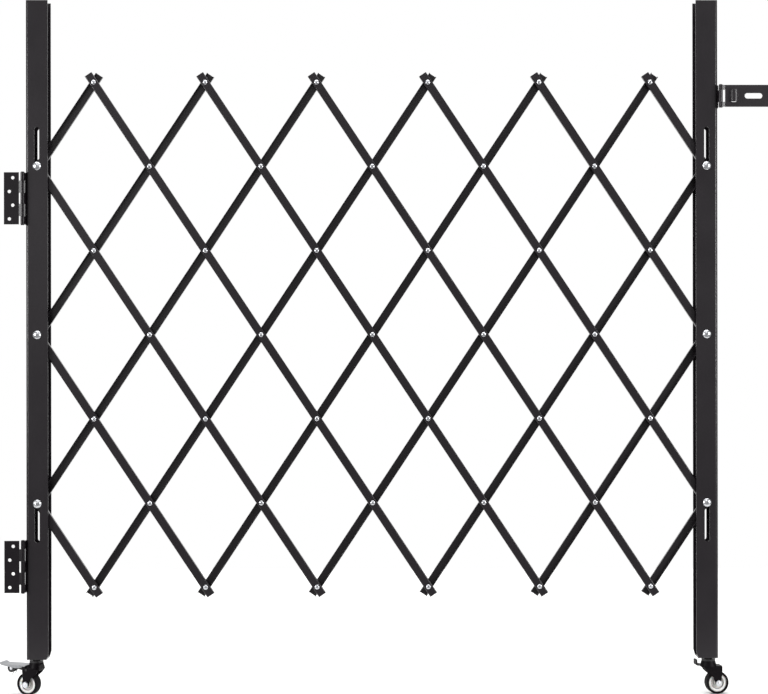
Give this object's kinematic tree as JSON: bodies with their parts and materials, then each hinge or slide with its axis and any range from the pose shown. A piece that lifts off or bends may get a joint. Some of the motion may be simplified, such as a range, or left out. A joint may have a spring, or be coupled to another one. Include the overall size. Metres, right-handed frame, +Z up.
{
  "type": "folding security gate",
  "caption": "Folding scissor lattice gate of crossing channel bars between two posts, hinged at one side, on swivel casters, with a foot brake and a slotted hasp strap.",
  "frame": {"origin": "middle of the lower wall leaf's rear face, which lies on the wall", "axes": "+X along the open gate away from the wall leaves, +Y into the wall, +Z up"},
  "size_m": [1.6972, 0.0792, 1.5275],
  "materials": {
    "black_steel": "black powder coat, satin",
    "hinge_steel": "black powder coat, satin",
    "hasp_steel": "black powder coat, satin",
    "caster_steel": "black enamel on pressed steel",
    "zinc_plate": "bright zinc plate",
    "caster_rubber": "moulded black rubber",
    "wheel_core": "moulded pale nylon"
  },
  "bodies": {
    "wall_leaves": {"lower_wall_leaf": "hinge_steel", "upper_wall_leaf": "hinge_steel"},
    "left_frame": {"left_post": "black_steel", "lower_post_leaf": "hinge_steel", "upper_post_leaf": "hinge_steel", "lower_hinge_pin": "hinge_steel", "upper_hinge_pin": "hinge_steel", "left_bolt_middle": "zinc_plate", "left_caster_stem": "zinc_plate"},
    "falling_1": {"front_bar_1": "black_steel", "rivets_1": "zinc_plate", "left_bolt_lower": "zinc_plate"},
    "falling_2": {"front_bar_2": "black_steel", "rivets_2": "zinc_plate"},
    "falling_3": {"front_bar_3": "black_steel", "rivets_3": "zinc_plate", "left_bolt_upper": "zinc_plate"},
    "falling_4": {"front_bar_4": "black_steel", "rivets_4": "zinc_plate"},
    "falling_5": {"front_bar_5": "black_steel", "rivets_5": "zinc_plate"},
    "falling_6": {"front_bar_6": "black_steel", "rivets_6": "zinc_plate"},
    "falling_7": {"front_bar_7": "black_steel", "rivets_7": "zinc_plate", "right_bolt_lower": "zinc_plate"},
    "falling_8": {"front_bar_8": "black_steel", "rivets_8": "zinc_plate"},
    "falling_9": {"front_bar_9": "black_steel", "rivets_9": "zinc_plate", "right_bolt_upper": "zinc_plate"},
    "rising_1": {"rear_bar_1": "black_steel"},
    "rising_2": {"rear_bar_2": "black_steel"},
    "rising_3": {"rear_bar_3": "black_steel"},
    "rising_4": {"rear_bar_4": "black_steel"},
    "rising_5": {"rear_bar_5": "black_steel"},
    "rising_6": {"rear_bar_6": "black_steel"},
    "rising_7": {"rear_bar_7": "black_steel"},
    "rising_8": {"rear_bar_8": "black_steel"},
    "rising_9": {"rear_bar_9": "black_steel"},
    "right_frame": {"right_post": "black_steel", "right_bolt_middle": "zinc_plate", "right_caster_stem": "zinc_plate", "hasp_leaf": "hasp_steel", "hasp_pin": "hasp_steel"},
    "hasp": {"hasp_strap": "hasp_steel"},
    "left_swivel": {"left_caster_fork": "caster_steel", "left_caster_axle": "zinc_plate"},
    "left_wheel": {"left_caster_tyre": "caster_rubber", "left_caster_core": "wheel_core"},
    "right_swivel": {"right_caster_fork": "caster_steel", "right_caster_axle": "zinc_plate"},
    "right_wheel": {"right_caster_tyre": "caster_rubber", "right_caster_core": "wheel_core"},
    "brake": {"brake_pedal": "zinc_plate"}
  },
  "joints": [
    {"name": "gate_swing", "type": "hinge", "parent": "wall_leaves", "child": "left_frame", "pos_m": [0.0239, 0.0005, 0], "axis": [0, 0, -1], "range_deg": [0, 180]},
    {"name": "fold", "type": "hinge", "parent": "left_frame", "child": "rising_2", "pos_m": [0.0533, 0.027, 0.507], "axis": [0, -1, 0], "range_deg": [0, 30.5]},
    {"name": "pivot_left_post", "type": "hinge", "parent": "left_frame", "child": "falling_2", "pos_m": [0.0533, 0.027, 0.507], "axis": [0, 1, 0], "range_deg": [0, 30.5]},
    {"name": "pivot_1_4", "type": "hinge", "parent": "rising_2", "child": "falling_3", "pos_m": [0.17583, 0.027, 0.69212], "axis": [0, 1, 0], "range_deg": [0, 61]},
    {"name": "pivot_2_5", "type": "hinge", "parent": "rising_2", "child": "falling_4", "pos_m": [0.29836, 0.027, 0.87725], "axis": [0, 1, 0], "range_deg": [0, 61]},
    {"name": "pivot_3_6", "type": "hinge", "parent": "rising_2", "child": "falling_5", "pos_m": [0.42089, 0.027, 1.06237], "axis": [0, 1, 0], "range_deg": [0, 61]},
    {"name": "pivot_1_2", "type": "hinge", "parent": "falling_2", "child": "rising_3", "pos_m": [0.17583, 0.027, 0.32188], "axis": [0, -1, 0], "range_deg": [0, 61]},
    {"name": "pivot_2_1", "type": "hinge", "parent": "falling_2", "child": "rising_4", "pos_m": [0.29836, 0.027, 0.13675], "axis": [0, -1, 0], "range_deg": [0, 61]},
    {"name": "pivot_3_0", "type": "hinge", "parent": "falling_2", "child": "rising_5", "pos_m": [0.42089, 0.027, -0.04837], "axis": [0, -1, 0], "range_deg": [0, 61]},
    {"name": "pivot_7_2", "type": "hinge", "parent": "falling_5", "child": "rising_6", "pos_m": [0.91101, 0.027, 0.32188], "axis": [0, -1, 0], "range_deg": [0, 61]},
    {"name": "pivot_8_1", "type": "hinge", "parent": "falling_5", "child": "rising_7", "pos_m": [1.03354, 0.027, 0.13675], "axis": [0, -1, 0], "range_deg": [0, 61]},
    {"name": "pivot_9_0", "type": "hinge", "parent": "falling_5", "child": "rising_8", "pos_m": [1.15607, 0.027, -0.04837], "axis": [0, -1, 0], "range_deg": [0, 61]},
    {"name": "pivot_10_1", "type": "hinge", "parent": "rising_8", "child": "falling_6", "pos_m": [1.2786, 0.027, 0.13675], "axis": [0, 1, 0], "range_deg": [0, 61]},
    {"name": "pivot_11_2", "type": "hinge", "parent": "rising_8", "child": "falling_7", "pos_m": [1.40113, 0.027, 0.32188], "axis": [0, 1, 0], "range_deg": [0, 61]},
    {"name": "pivot_12_3", "type": "hinge", "parent": "rising_8", "child": "falling_8", "pos_m": [1.52366, 0.027, 0.507], "axis": [0, 1, 0], "range_deg": [0, 61]},
    {"name": "pivot_0_5", "type": "hinge", "parent": "falling_3", "child": "rising_1", "pos_m": [0.0533, 0.027, 0.87725], "axis": [0, -1, 0], "range_deg": [0, 61]},
    {"name": "pivot_12_1", "type": "hinge", "parent": "falling_7", "child": "rising_9", "pos_m": [1.52366, 0.027, 0.13675], "axis": [0, -1, 0], "range_deg": [0, 61]},
    {"name": "pivot_12_5", "type": "hinge", "parent": "rising_7", "child": "falling_9", "pos_m": [1.52366, 0.027, 0.87725], "axis": [0, 1, 0], "range_deg": [0, 61]},
    {"name": "pivot_0_1", "type": "hinge", "parent": "rising_3", "child": "falling_1", "pos_m": [0.0533, 0.027, 0.13675], "axis": [0, 1, 0], "range_deg": [0, 61]},
    {"name": "pivot_right_post", "type": "hinge", "parent": "rising_8", "child": "right_frame", "pos_m": [1.52366, 0.027, 0.507], "axis": [0, 1, 0], "range_deg": [0, 30.5]},
    {"name": "hasp_swing", "type": "hinge", "parent": "right_frame", "child": "hasp", "pos_m": [1.55306, 0.0005, 1.029], "axis": [0, 0, -1], "range_deg": [-85, 95]},
    {"name": "left_swivel_turn", "type": "hinge", "parent": "left_frame", "child": "left_swivel", "pos_m": [0.0477, 0.027, -0.2135], "axis": [0, 0, 1], "continuous": true},
    {"name": "left_wheel_spin", "type": "hinge", "parent": "left_swivel", "child": "left_wheel", "pos_m": [0.0301, 0.03272, -0.2615], "axis": [-0.309, -0.9511, 0], "continuous": true},
    {"name": "brake_press", "type": "hinge", "parent": "left_swivel", "child": "brake", "pos_m": [0.03058, 0.03256, -0.2295], "axis": [-0.309, -0.9511, 0], "range_deg": [0, 10]},
    {"name": "right_swivel_turn", "type": "hinge", "parent": "right_frame", "child": "right_swivel", "pos_m": [1.52926, 0.027, -0.2135], "axis": [0, 0, 1], "continuous": true},
    {"name": "right_wheel_spin", "type": "hinge", "parent": "right_swivel", "child": "right_wheel", "pos_m": [1.54764, 0.02909, -0.2615], "axis": [-0.1132, 0.9936, 0], "continuous": true}
  ],
  "couplings": [
    {"joint": "pivot_left_post", "follows": "fold", "ratio": 1},
    {"joint": "pivot_1_4", "follows": "fold", "ratio": 2},
    {"joint": "pivot_2_5", "follows": "fold", "ratio": 2},
    {"joint": "pivot_3_6", "follows": "fold", "ratio": 2},
    {"joint": "pivot_1_2", "follows": "fold", "ratio": 2},
    {"joint": "pivot_2_1", "follows": "fold", "ratio": 2},
    {"joint": "pivot_3_0", "follows": "fold", "ratio": 2},
    {"joint": "pivot_7_2", "follows": "fold", "ratio": 2},
    {"joint": "pivot_8_1", "follows": "fold", "ratio": 2},
    {"joint": "pivot_9_0", "follows": "fold", "ratio": 2},
    {"joint": "pivot_10_1", "follows": "fold", "ratio": 2},
    {"joint": "pivot_11_2", "follows": "fold", "ratio": 2},
    {"joint": "pivot_12_3", "follows": "fold", "ratio": 2},
    {"joint": "pivot_0_5", "follows": "fold", "ratio": 2},
    {"joint": "pivot_12_1", "follows": "fold", "ratio": 2},
    {"joint": "pivot_12_5", "follows": "fold", "ratio": 2},
    {"joint": "pivot_0_1", "follows": "fold", "ratio": 2},
    {"joint": "pivot_right_post", "follows": "fold", "ratio": 1}
  ]
}
